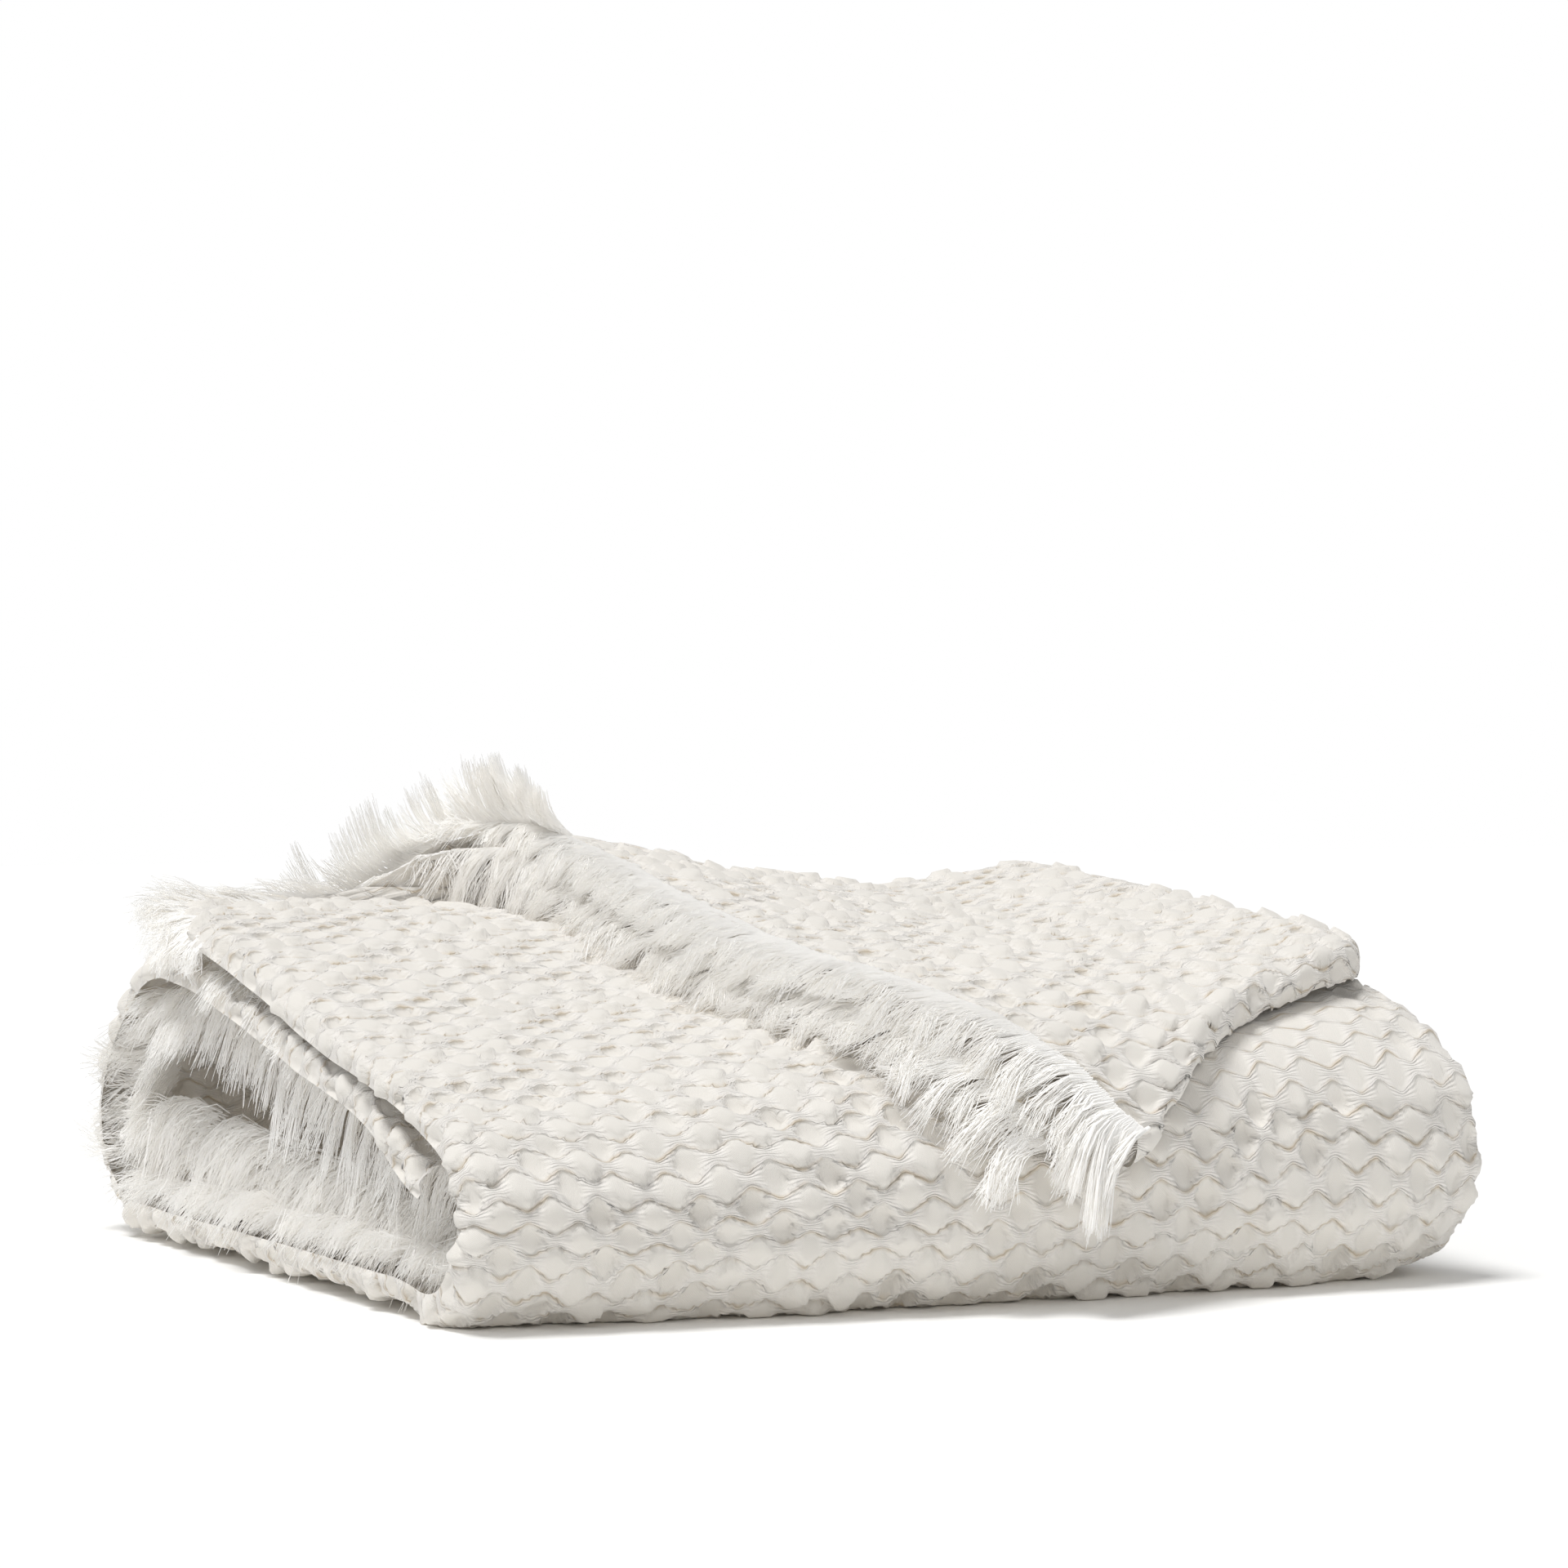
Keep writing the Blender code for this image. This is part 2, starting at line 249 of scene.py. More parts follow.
def section(t, across):
    """Place (x, n) in the doubled section, and the outward normal (x, n) there."""
    straight = column("right_fold", t) - HALF - LOFT / 2
    beyond = np.abs(across) - BEND
    angle = across / HALF
    side = np.sign(across)
    in_bend = beyond < 0
    x = np.where(in_bend, straight + HALF * np.cos(angle), straight - beyond)
    n = np.where(in_bend, HALF * np.sin(angle), side * HALF)
    normal_x = np.where(in_bend, np.cos(angle), 0)
    normal_n = np.where(in_bend, np.sin(angle), side)
    # the turned left edge of the outer ply
    start = column("outer_edge", t) + HOOK_RADIUS
    past = np.where(across > 0, start - x, 0)
    turn = radians(1) * np.maximum(column("turn", t), LEAST_TURN)
    radius = HOOK_LENGTH / turn
    theta = np.clip(past, 0, HOOK_LENGTH) / radius
    hook = past > 0
    x = np.where(hook, start - radius * np.sin(theta), x)
    n = np.where(hook, HALF - radius * (1 - np.cos(theta)), n)
    normal_x = np.where(hook, -np.sin(theta), normal_x)
    normal_n = np.where(hook, np.cos(theta), normal_n)
    return x, n, normal_x, normal_n


bottom_edges = edges(np.array([BOTTOM_ROW]))
print("cloth", round(float(np.ptp(bottom_edges)), 3), "m wide at the bottom")

# %% The last section is askew: its front edge slants back to the right
FLAP_CORNER = 0.318      # x of the corner that hangs lowest
CORNER_SOFTNESS = 0.012  # how gently the edge turns there
FLAP_CUT = 0.02          # share by which the whole edge stops short of the last row
FLAP_SLANT = 0.27        # further share at the far end of the slant
SLANT_REACH = 0.10       # how fast the slant grows to the right of the corner
FLAP_ROUND = 0.09        # further share that rounds the edge's right end
ROUND_FROM = 0.445       # x where the bundle's right end begins to round
EDGE_ROUND = 0.06        # the edge is rounded over this length


def drawn_back(t, x):
    """The row where the last section's point really lies."""
    inside = x - FLAP_CORNER
    slant = 1 - np.exp(-(inside + np.hypot(inside, CORNER_SOFTNESS)) / SLANT_REACH)
    rounded = FLAP_ROUND * ramp(x, ROUND_FROM, EDGE_ROUND) ** 2
    return np.where(t > FLAP_FROM, t - (t - FLAP_FROM) * (FLAP_CUT + FLAP_SLANT * slant + rounded), t)


front_rows = drawn_back(np.full(2, END), np.array([FLAP_CORNER, WIDTH]))
print("front edge at row", round(float(front_rows[0]), 2), "by the corner and",
      round(float(front_rows[1]), 2), "at the right")

# %% How the bundle has settled, in metres and rows of the spine
BOW = 0.014              # the front bows out by this much in the middle
BOW_DEPTH = 0.20         # and not at all this far behind it
ROUND_DROP = 0.085       # the right end shrinks by this share towards ROUND_CENTRE
ROUND_CENTRE = np.array([0.20, 0.085])
ROUND_SHARES = np.array([0.42, 1.0])    # less in depth than in height
# height of the top's swells and hollows at x, from the row where they begin
SWELL = ((0.00, 0.0), (0.22, 0.001), (0.30, -0.007), (0.37, -0.011),
         (0.42, -0.003), (0.46, 0.005), (0.48, 0.003), (0.52, -0.004))
SWELL_FROM = 17.0
SWELL_ROWS = 3.0
FLAP_SETTLE = 0.007      # the last section's right end sinks onto the fold by this much
SETTLE_ACROSS = (0.36, 0.12)            # a start and a reach, for ramp()
SETTLE_ROWS = ((29.5, 3),)
TUCK_FLARE = 0.015       # the tucked layer's left end puffs up by this much
FLARE_ACROSS = (0.10, -0.10)
FLARE_ROWS = ((0, 1.5), (6.2, -1.8))
FOLD_RISE = 0.012        # the back fold stands up by this much near its left end
RISE_PLACE = 0.13
RISE_SPREAD = 0.09
RISE_ROWS = ((25.2, 1.6), (30.8, -2.2))
FRONT_SAG = 0.0075       # the front fold slumps onto the floor by this much
SAG_HEIGHT = 0.03        # up to this height
SAG_FRONT = 0.05         # and this far back, fading over SAG_FADE
SAG_FADE = 0.03
FLOOR_GAP = 0.0004       # no cloth goes lower


def for_rows(height, share, t, ramps):
    """A height times a share, kept to some rows: each ramp is (first row, rows to grow over)."""
    lift = height * share
    for start, reach in ramps:
        lift = lift * ramp(t, start, reach)
    return lift


def settled(x, yz, t):
    """The place (y, z) at x and row t after the bundle's own weight and handling."""
    share = np.clip(x / WIDTH, 0, 1)
    yz[:, 0] -= BOW * 4 * share * (1 - share) * np.clip((BOW_DEPTH - yz[:, 0]) / BOW_DEPTH, 0, 1)
    past = np.maximum(0, (x - ROUND_FROM) / (WIDTH - ROUND_FROM))
    yz = ROUND_CENTRE + (yz - ROUND_CENTRE) * (1 - ROUND_DROP * past[:, None] ** 2 * ROUND_SHARES)
    swell = np.interp(x, [at for at, rise in SWELL], [rise for at, rise in SWELL])
    yz[:, 1] += swell * np.clip((t - SWELL_FROM) / SWELL_ROWS, 0, 1)
    yz[:, 1] -= for_rows(FLAP_SETTLE, ramp(x, *SETTLE_ACROSS), t, SETTLE_ROWS)
    yz[:, 1] += for_rows(TUCK_FLARE, ramp(x, *FLARE_ACROSS), t, FLARE_ROWS)
    yz[:, 1] += for_rows(FOLD_RISE, np.exp(-((x - RISE_PLACE) / RISE_SPREAD) ** 2), t, RISE_ROWS)
    low = np.clip(1 - yz[:, 1] / SAG_HEIGHT, 0, 1) * np.clip((SAG_FRONT - yz[:, 0]) / SAG_FADE, 0, 1)
    yz[:, 1] = np.maximum(yz[:, 1] - FRONT_SAG * low, FLOOR_GAP)
    return yz


print("settling moves the bundle by up to", max(BOW, TUCK_FLARE, FOLD_RISE, FRONT_SAG), "m")

# %% The whole fold as one function
ROLL_RADIUS = 0.0115     # the upper ply rolls down over the lower one's front edge
ROLL = ROLL_RADIUS * radians(130)       # cloth in that roll of 130 degrees
LOWER_ROLL = 0.10        # the lower ply goes forward with it by this share only
ROW_STEP = 0.02          # rows to each side from which the spine's direction is taken


def lay(t, x, n, past=0.0):
    """A point (x, n) of the section put on the spine at row t; past rolls the front edge."""
    t = drawn_back(t, x)
    here = spline(t)
    ahead = spline(np.minimum(t + ROW_STEP, END)) - spline(np.maximum(t - ROW_STEP, 0))
    share = smooth(x / WIDTH)[:, None]
    yz = here[:, :2] * (1 - share) + here[:, 2:] * share
    tangent = ahead[:, :2] * (1 - share) + ahead[:, 2:] * share
    tangent /= np.linalg.norm(tangent, axis=1)[:, None]
    normal = np.column_stack([-tangent[:, 1], tangent[:, 0]])
    roll = np.asarray(past) / ROLL_RADIUS
    upper = np.clip((HALF - n) / PITCH, 0, 1)
    n = n + upper * ROLL_RADIUS * (1 - np.cos(roll))
    ahead_by = (LOWER_ROLL + (1 - LOWER_ROLL) * upper) * ROLL_RADIUS * np.sin(roll)
    yz = settled(x, yz + normal * n[:, None] + tangent * ahead_by[:, None], t)
    return np.column_stack([x, yz]) - np.array(REST)


def folded(across, along, lift, past=0.0):
    """The folded place of flat cloth coordinates."""
    t = row_at(along)
    x, n, normal_x, normal_n = section(t, across)
    return lay(t, x + normal_x * lift, n + normal_n * lift, past)


corner = lay(np.array([float(END)]), np.array([FLAP_CORNER]), np.zeros(1))[0]
print("the hanging corner is at", np.round(corner, 3))

# %% [markdown]
# ## The honeycomb relief
# A honeycomb cloth has rows of smooth lozenge pads.  Neighbours in a row are joined by
# pinched bundles of loose threads, and each row is set half a cell from the next, so
# the grooves between rows run in waves.  Washing pushes every pad out or in at random.
# A bump map or a Displace modifier with a texture could draw the cells, but a bump
# leaves the outline smooth, and a texture knows nothing of rows and cells.  So the
# relief is a formula in the cloth's flat coordinates and moves real vertices.  The
# threads, which are finer than the mesh, are left to the material.

# %% The weave's sizes, in metres
CELL = 0.0232            # pad to pad along a row
ROW = 0.0108             # row to row
WAVE = 0.0027            # how far a groove waves
POINT = 0.10             # share of a third harmonic, which makes the lozenges pointed
WANDER = 0.0034          # how far the rows wander off straight
PAD_RISE = 0.0050        # a pad's dome or bowl
BUNDLE_DIP = 0.0003      # a bundle lies this much lower than flat cloth
GROOVE = 0.0016          # depth of the grooves
GROOVE_SHARE = 0.16      # their width, as a share of half a row
print("a cell is", 1000 * CELL, "x", 1000 * ROW, "mm")

# %% Repeatable unevenness
NOISE_MIX = (127.1, 311.7, 74.7)        # big uneven factors, so that neighbours get unlike numbers
NOISE_SCALE = 43758.5453
WAVES = 4                # slow waves that are added up
LONGEST_WAVE = 0.16      # metres
WAVE_SHORTER = 0.7       # wave k is shorter than the first by 1 + this times k
WAVE_WEAKER = 0.4        # and weaker by 1 + this times k
WAVE_TURN = 2.4          # radians from one wave's direction to the next
WAVE_START = (1.7, 3)    # radians by which a wave's start moves for each k, and for each salt
WAVES_TOGETHER = 2.6     # about the height of all of them together


def noise(i, j, salt):
    """A repeatable random number from 0 to 1 for each cell (i, j)."""
    mixed = i * NOISE_MIX[0] + j * NOISE_MIX[1] + salt * NOISE_MIX[2]
    return np.modf(np.abs(np.sin(mixed) * NOISE_SCALE))[0]


def rolling(a, b, salt):
    """Slow unevenness over the cloth, from about -1 to 1."""
    total = 0
    for k in range(WAVES):
        angle = WAVE_TURN * k + salt
        size = LONGEST_WAVE / (1 + WAVE_SHORTER * k)
        phase = (a * cos(angle) + b * sin(angle)) * 2 * pi / size + WAVE_START[0] * k + salt * WAVE_START[1]
        total = total + np.sin(phase) / (1 + WAVE_WEAKER * k)
    return total / WAVES_TOGETHER


print("first random numbers", np.round(noise(np.arange(3), 1, 1), 3))

# %% The relief
PAD_REACH = 0.50         # how far a pad reaches into the bundles beside it
PAD_TAPER = 1.1          # how much it narrows towards the grooves
TAPER_POWER = 1.4
PAD_BLEND = 0.55         # width of the change from pad to bundle
PUSH_SPREAD = 1.9        # how unlike the pads' pushes are
PUSH_IN = 1.02           # more pads are pushed in than out
PUSH_GROUPS = 1.1        # and like ones come in groups
GROUP_FINER = (1.3, 1.5)                # which are this much finer than rolling()'s own waves
LEAST_PUSH = 0.5         # no pad is left flat
OUTWARD = 0.62           # a dome is lower than a bowl is deep
TILT_ALONG = 1.2         # how unevenly a pad is tipped towards the next row
TILT_ACROSS = 2.2        # and towards the next pad


def weave(across, along):
    """Height of the relief: pads pushed out or in, with grooves between the rows."""
    base = np.floor(along / ROW)
    height = np.zeros_like(along)
    for k in (base, base + 1):      # the two rows that a point may be in
        phase = across / CELL - np.mod(k, 2) * 0.5
        swing = (np.cos(2 * pi * phase) + POINT * np.cos(6 * pi * phase)) / (1 + POINT)
        s = (along - k * ROW) / (ROW / 2 + WAVE * swing)    # 0 mid row, 1 or -1 at its grooves
        cell = np.round(phase)
        is_pad = smooth((swing + PAD_REACH - PAD_TAPER * np.abs(s) ** TAPER_POWER) / PAD_BLEND)
        group = rolling(cell * CELL * GROUP_FINER[0], k * ROW * GROUP_FINER[1], 1.0)
        push = np.clip(noise(cell, k, 1) * PUSH_SPREAD - PUSH_IN + PUSH_GROUPS * group, -1, 1)
        push = np.sign(push) * np.maximum(np.abs(push), LEAST_PUSH) * np.where(push > 0, OUTWARD, 1.0)
        tilt = ((noise(cell, k, 2) - 0.5) * TILT_ALONG * s
                + (noise(cell, k, 3) - 0.5) * TILT_ACROSS * (phase - cell))
        dome = np.maximum(0, 1 - np.abs(s) ** 3)
        z = PAD_RISE * is_pad * dome * (push + tilt)
        z = z - BUNDLE_DIP * (1 - is_pad) - GROOVE * np.exp(-((1 - np.abs(s)) / GROOVE_SHARE) ** 2)
        height = np.where(np.abs(s) < 1, z, height)
    return height


patch = weave(np.linspace(0, 10 * CELL, 400), np.full(400, 4.2 * ROW))
print("relief from", round(1000 * patch.min(), 1), "to", round(1000 * patch.max(), 1), "mm")

# %% [markdown]
# ## Cutting and laying the cloth
# The cloth starts as one flat grid.  Evenly fine, it would need millions of faces, and
# a Subdivision Surface would refine the hidden layers as much as the shown ones.  So
# the faces that end up in sight are subdivided until a pad is a few faces wide, and
# the hidden layers stay coarse.  Then every vertex is moved to its folded place.  The
# mesh is in two pieces, which keeps each one small; they meet inside the back fold.

# %% Where the cloth is in sight
COARSE = 0.0116          # size of a hidden face, in metres
CUT_WIDTH = 1.04         # the cloth's width before folding
SPLIT_ROW = 25.6         # the row where the two pieces meet
SPLIT_BAND = 1.0         # rows to each side of it that stay coarser, so that their edges match
TOP_ROWS = (13.3, 24.4)  # the front and the top
CURL_ROWS = (3.5, 10.2)
BACK_ROWS = (24.4, 27.6)
FLAP_ROWS = np.arange(16, 24)           # the top's rows that the last section covers
FLAP_LEFT = [0.30, 0.26, 0.22, 0.20, 0.19, 0.18, 0.17, 0.15]     # and from which x on
FLAP_OVER = 16.5         # the row from which it covers the top
HIDDEN_MARGIN = 0.03     # the cloth stays fine this far under it
TURNED_TO = 24           # the left edges are turned up to this row
UNDER_PLY_FROM = 28      # the row from which the last section's under ply shows
UNDER_PLY_BAND = 0.015   # and by how much, beyond the upper one's left edge
TURNED_BAND = 0.034      # cloth that shows along a turned left edge
INNER_BAND = 0.030       # and along the inner ply's left edge
RIGHT_BAND = 0.035       # and to each side of the right fold
UPPER_PLY_TO = 0.010     # the last section's upper ply shows as far across as this
TOP_FROM = -0.006        # the top shows from this far across
CURL_FROM = -0.02        # and the back curl from this far


def between(t, rows):
    """Whether row numbers t are inside a stretch of rows."""
    return (t > rows[0]) & (t < rows[1])


def flat_coordinates(s, along):
    """Grid coordinate s (-1 to 1) to a distance across, with the row and the edges there."""
    t = row_at(np.minimum(along, LENGTH))
    inner, outer = edges(t)
    across = np.where(s < 0, -s * inner, s * outer)
    return across, t, inner, outer


def in_sight(s, along):
    """2 for faces on show, 1 for those seen from the side or back, 0 for hidden ones."""
    across, t, inner, outer = flat_coordinates(s, along)
    x = section(t, across)[0]
    under_flap = (t > FLAP_OVER) & (x > np.interp(t, FLAP_ROWS, FLAP_LEFT) + HIDDEN_MARGIN)
    shown = (across > TOP_FROM) & between(t, TOP_ROWS) & ~under_flap
    shown |= (across < UPPER_PLY_TO) & (t > BACK_ROWS[1])
    shown |= (t > UNDER_PLY_FROM) & (across > 0) & (x < column("inner_edge", t) + UNDER_PLY_BAND)
    shown |= (across > outer - TURNED_BAND) & (t < TURNED_TO)
    seen = (across > CURL_FROM) & between(t, CURL_ROWS)
    seen |= (np.abs(across) < RIGHT_BAND)
    seen |= (across < inner + INNER_BAND)
    seen |= between(t, BACK_ROWS)
    return np.where(shown & (np.abs(t - SPLIT_ROW) > SPLIT_BAND), 2, np.where(seen, 1, 0))


flat_length = LENGTH + ROLL
split = float(distance_at(SPLIT_ROW))
print("cloth", CUT_WIDTH, "x", round(flat_length, 3), "m flat, split at", round(split, 3), "m")

# %% The grid, cut finer where it shows
SHOWN_CUTS = 5           # new edges across a face on show
SIDE_CUTS = 2            # and across one seen from the side or back
STILL_WHOLE = 0.9        # a face of at least this share of the full area hasn't been cut


def subdivide(bm, wanted, cuts, start, stop, full_size):
    """Cut the whole faces of one level of sight into a finer grid."""
    whole = [f for f in bm.faces if len(f.verts) == 4 and f.calc_area() > STILL_WHOLE * full_size]
    centres = np.array([f.calc_center_median() for f in whole])
    level = in_sight(centres[:, 0], start + (stop - start) * (centres[:, 1] + 1) / 2)
    chosen = {e for f, k in zip(whole, level) if k == wanted for e in f.edges}
    bmesh.ops.subdivide_edges(bm, edges=list(chosen), cuts=cuts, use_grid_fill=True)


def flat_grid(start, stop):
    """A flat cloth from -1 to 1 both ways, and the size of one of its uncut faces."""
    columns = round(CUT_WIDTH / COARSE)
    rows = round((stop - start) / COARSE)
    bm = bmesh.new()
    bmesh.ops.create_grid(bm, x_segments=columns, y_segments=rows, size=1.0)
    full_size = bm.faces[:][0].calc_area()
    subdivide(bm, 2, SHOWN_CUTS, start, stop, full_size)
    subdivide(bm, 1, SIDE_CUTS, start, stop, full_size)
    bmesh.ops.triangulate(bm, faces=[f for f in bm.faces if len(f.verts) > 4])
    return bm, 2 / max(columns, rows)


print("a face on show is", round(1000 * COARSE / (SHOWN_CUTS + 1), 1), "mm, a hidden one", 1000 * COARSE)

# %% Laying a piece of cloth
PUCKER = 0.0011          # slow unevenness of the whole cloth, in metres
FADE_FROM = 0.95         # a vertex whose shortest edge is this share of a coarse one has no relief
FADE_REACH = 0.4         # and one whose shortest edge is less by this share has all of it
EDGE_FADE = 0.005        # and it fades out over this length at an edge
TURNED_FADE = 0.001      # or at a turned one


def relief(s, along, finest, coarse):
    """Each vertex's distance across, its lift off the flat cloth, and its place in the weave."""
    across, t, inner, outer = flat_coordinates(s, along)
    woven_across = across + WANDER * rolling(across, along, 6.0)
    drawn = distance_at(drawn_back(t, section(t, across)[0])) + np.maximum(0, along - LENGTH)
    woven_along = drawn + WANDER * rolling(across, along, 7.0)
    rough = ramp(finest, coarse * FADE_FROM, -coarse * FADE_REACH)
    outer_fade = np.where(t < TURNED_TO, TURNED_FADE, EDGE_FADE)
    fade = ramp(across, inner, EDGE_FADE) * ramp(across, outer, -outer_fade)
    lift = (weave(woven_across, woven_along) * fade + PUCKER * rolling(across, along, 4.0)) * rough
    return across, lift, woven_across, woven_along


def lay_cloth(name, start, stop):
    """The cloth between two distances along its length, laid in its fold."""
    bm, coarse = flat_grid(start, stop)
    place = np.array([v.co for v in bm.verts])
    along = start + (stop - start) * (place[:, 1] + 1) / 2
    finest = np.array([min(e.calc_length() for e in v.link_edges) for v in bm.verts])
    across, lift, woven_across, woven_along = relief(place[:, 0], along, finest, coarse)
    laid = folded(across, np.minimum(along, LENGTH), lift, np.maximum(0, along - LENGTH))
    flat_uv = np.column_stack([woven_across + CUT_WIDTH / 2, woven_along]) / flat_length
    bm.verts.index_update()
    for vert, p in zip(bm.verts, laid):
        vert.co = p
    uv = bm.loops.layers.uv.new("weave")
    for face in bm.faces:
        face.smooth = True
        for loop in face.loops:
            loop[uv].uv = flat_uv[loop.vert.index]
    mesh = bpy.data.meshes.new(name)
    bm.to_mesh(mesh)
    bm.free()
    print(name, triangles(mesh), "triangles")
    return add_object(name, mesh)


lower_cloth = lay_cloth("cloth_lower_sections", 0.0, split)
last_cloth = lay_cloth("cloth_last_section", split, flat_length)

# %% [markdown]
# ## The fringe
# The cloth's warp ends are left long at both ends and have fluffed into soft clumps.
# Blender's hair would grow them quickly, but hair doesn't survive an export, and flat
# cards with threads drawn on them show as cards from the side.  So each thread is a thin
# three-sided tube: one tube is modelled, an Array copies it, and each copy is bent
# from its root on the cloth's edge.  Threads of one clump, and of one wisp inside it,
# lean towards each other, and every thread strays and waves a little.

# %% How each stretch of fringe lies
# row of the spine, then in millimetres: reach outward, reach off the ply, drop at the
# tip, and height of the root off the ply
INNER_FRINGE = (
    (0.0, 16, 6, 26, 2), (3.0, 20, 8, 37, 2), (4.4, 28, 2, 28, 2), (5.4, 40, -5, 8, 1), (6.5, 42, -5, 5, 1),
    (8.0, 42, -3, 5, 1), (9.0, 40, 14, 16, 2), (11.0, 40, 22, 24, 2), (13.0, 35, 20, 22, 2),
    (13.8, 22, 12, 12, 2), (14.4, 14, 5, 9, 2), (17.0, 18, 3, 8, 2), (19.5, 22, 3, 9, 2),
    (21.5, 35, 3, 9, 2), (22.6, 38, 2, 6, 2), (24.0, 42, 2, 0, 2), (26.0, 38, 2, -4, 2),
    (28.0, 28, 3, 22, 1.5), (29.0, 30, 2, 20, 1), (30.0, 38, 1, 12, 0.7), (32.0, 43, 0, 10, 0.5),
    (34.0, 43, 0, 13, 0.5), (36.0, 38, 1, 22, 0.7),
)
PEAK_FRINGE = (
    (23.6, 36, 2, -6, 2), (24.4, 34, 2, -11, 2), (25.2, 32, 3, -18, 2), (26.0, 30, 3, -23, 2),
    (26.6, 27, 4, -25, 2), (27.8, 26, 4, -25, 2), (28.5, 22, 4, -21, 2), (29.2, 24, 4, -8, 2),
)
CURL_FRINGE = (
    (4.2, 28, 8, 16, 6), (6.0, 32, 10, 12, 12), (8.0, 32, 12, 16, 22), (9.0, 30, 12, 30, 34),
    (10.0, 30, 10, 32, 34), (12.0, 28, 8, 30, 24), (13.6, 24, 6, 24, 14),
)
OUTER_FRINGE = (
    (25.4, 30, 1, 6, 1), (27.0, 28, 1, 20, 1), (28.0, 24, 0, 36, 1), (29.0, 27, 0, 32, 0.7),
    (30.0, 34, -1, 15, 0.4), (33.0, 36, -1, 11, 0.4), (36.0, 36, 1, 20, 0.5),
)
LEFT_FRINGE = ((21.8, 18, -4, 2, 1), (22.6, 34, -8, -1, 1), (24.2, 36, -8, -3, 1), (25.2, 36, -4, -4, 1))
CORNER_TASSEL = ((35.0, 31, 3, 31, 1), (36.0, 31, 3, 32, 1))
print("longest reach of the fringe", max(row[1] for row in INNER_FRINGE), "mm")

# %% One thread, and copies of it side by side
THREAD_STEPS = 4         # stretches that a thread bends in
TIP = 0.35               # its tip's radius, as a share of the root's
APART = 10               # from one copy to the next, in thread radii


def thread_copies(count):
    """A mesh of `count` upright threads, each one unit tall and one unit in radius at its root."""
    bm = bmesh.new()
    bmesh.ops.create_cone(bm, cap_ends=True, segments=3, radius1=1.0, radius2=TIP, depth=1.0)
    long_edges = [e for e in bm.edges if abs(e.verts[0].co.z - e.verts[1].co.z) > 0.5]
    bmesh.ops.subdivide_edges(bm, edges=long_edges, cuts=THREAD_STEPS - 1, use_grid_fill=True)
    bmesh.ops.translate(bm, verts=bm.verts, vec=(0, 0, 0.5))
    mesh = bpy.data.meshes.new("threads")
    bm.to_mesh(mesh)
    bm.free()
    threads = add_object("threads", mesh)
    array = threads.modifiers.new("copies", "ARRAY")
    array.count = count
    array.use_relative_offset = False
    array.use_constant_offset = True
    array.constant_offset_displace = (APART, 0, 0)
    bpy.context.view_layer.update()
    graph = bpy.context.evaluated_depsgraph_get()
    copies = bpy.data.meshes.new_from_object(threads.evaluated_get(graph))
    bpy.data.objects.remove(threads)
    return copies


one_thread = thread_copies(1)
print("one thread has", triangles(one_thread), "triangles")
bpy.data.meshes.remove(one_thread)

# %% Where each thread stands, in metres unless it is a share
CLUMP = 0.0108           # width of a clump along the edge
WISP = 0.0024            # width of a wisp inside a clump
CLUMP_WOBBLE = (0.35, 90)               # share by which a clump's borders wobble, and how fast
WISP_WOBBLE = (0.4, 410)
ROOT_INSET = 0.003       # the scale of how far the roots are inside the edge
ROOT_SPREAD = (0.3, 0.9, 1.3)           # at least, and by up to how much more by thread and by clump
ALONG_STEP = 0.002       # to each side, to find which way the edge runs
OFF_STEP = 0.010         # off the ply, to find which side is outside


def unit(vectors):
    """Vectors, one in each row, brought to length 1."""
    return vectors / np.linalg.norm(vectors, axis=1)[:, None]


def on_cloth(across, along):
    """A place on the folded cloth's middle surface."""
    return folded(across, np.clip(along, 0, LENGTH), np.zeros_like(along))


def thread_places(start, stop, each, draw):
    """Each thread's distance along the cloth, and the numbers of its clump and its wisp."""
    along = start + (stop - start) * (each + draw(each, 1)) / len(each)
    clump = np.floor(along / CLUMP + CLUMP_WOBBLE[0] * np.sin(along * CLUMP_WOBBLE[1]))
    wisp = np.floor(along / WISP + WISP_WOBBLE[0] * np.sin(along * WISP_WOBBLE[1]))
    return along, clump, wisp


def thread_roots(side, along, each, clump, draw):
    """Each thread's root, and the directions outward, along the edge and off the ply there."""
    t = row_at(along)
    edge = edges(t)[0 if side < 0 else 1]
    inward = -np.sign(edge) * ROOT_INSET
    inset = ROOT_SPREAD[0] + ROOT_SPREAD[1] * draw(each, 11) + ROOT_SPREAD[2] * draw(clump, 13)
    root = on_cloth(edge + inward * inset, along)
    outward = unit(on_cloth(edge + inward * 0.1, along) - on_cloth(edge + inward, along))
    beside = unit(on_cloth(edge, along + ALONG_STEP) - on_cloth(edge, along - ALONG_STEP))
    off = unit(np.cross(outward, beside))
    at_edge = section(t, edge)[0]
    away = lay(t, at_edge, np.full(len(t), -OFF_STEP)) - lay(t, at_edge, np.zeros(len(t)))
    off *= np.sign((off * away).sum(axis=1))[:, None]
    return root, outward, beside, off


print("a clump of", 1000 * CLUMP, "mm holds", round(CLUMP / WISP, 1), "wisps")

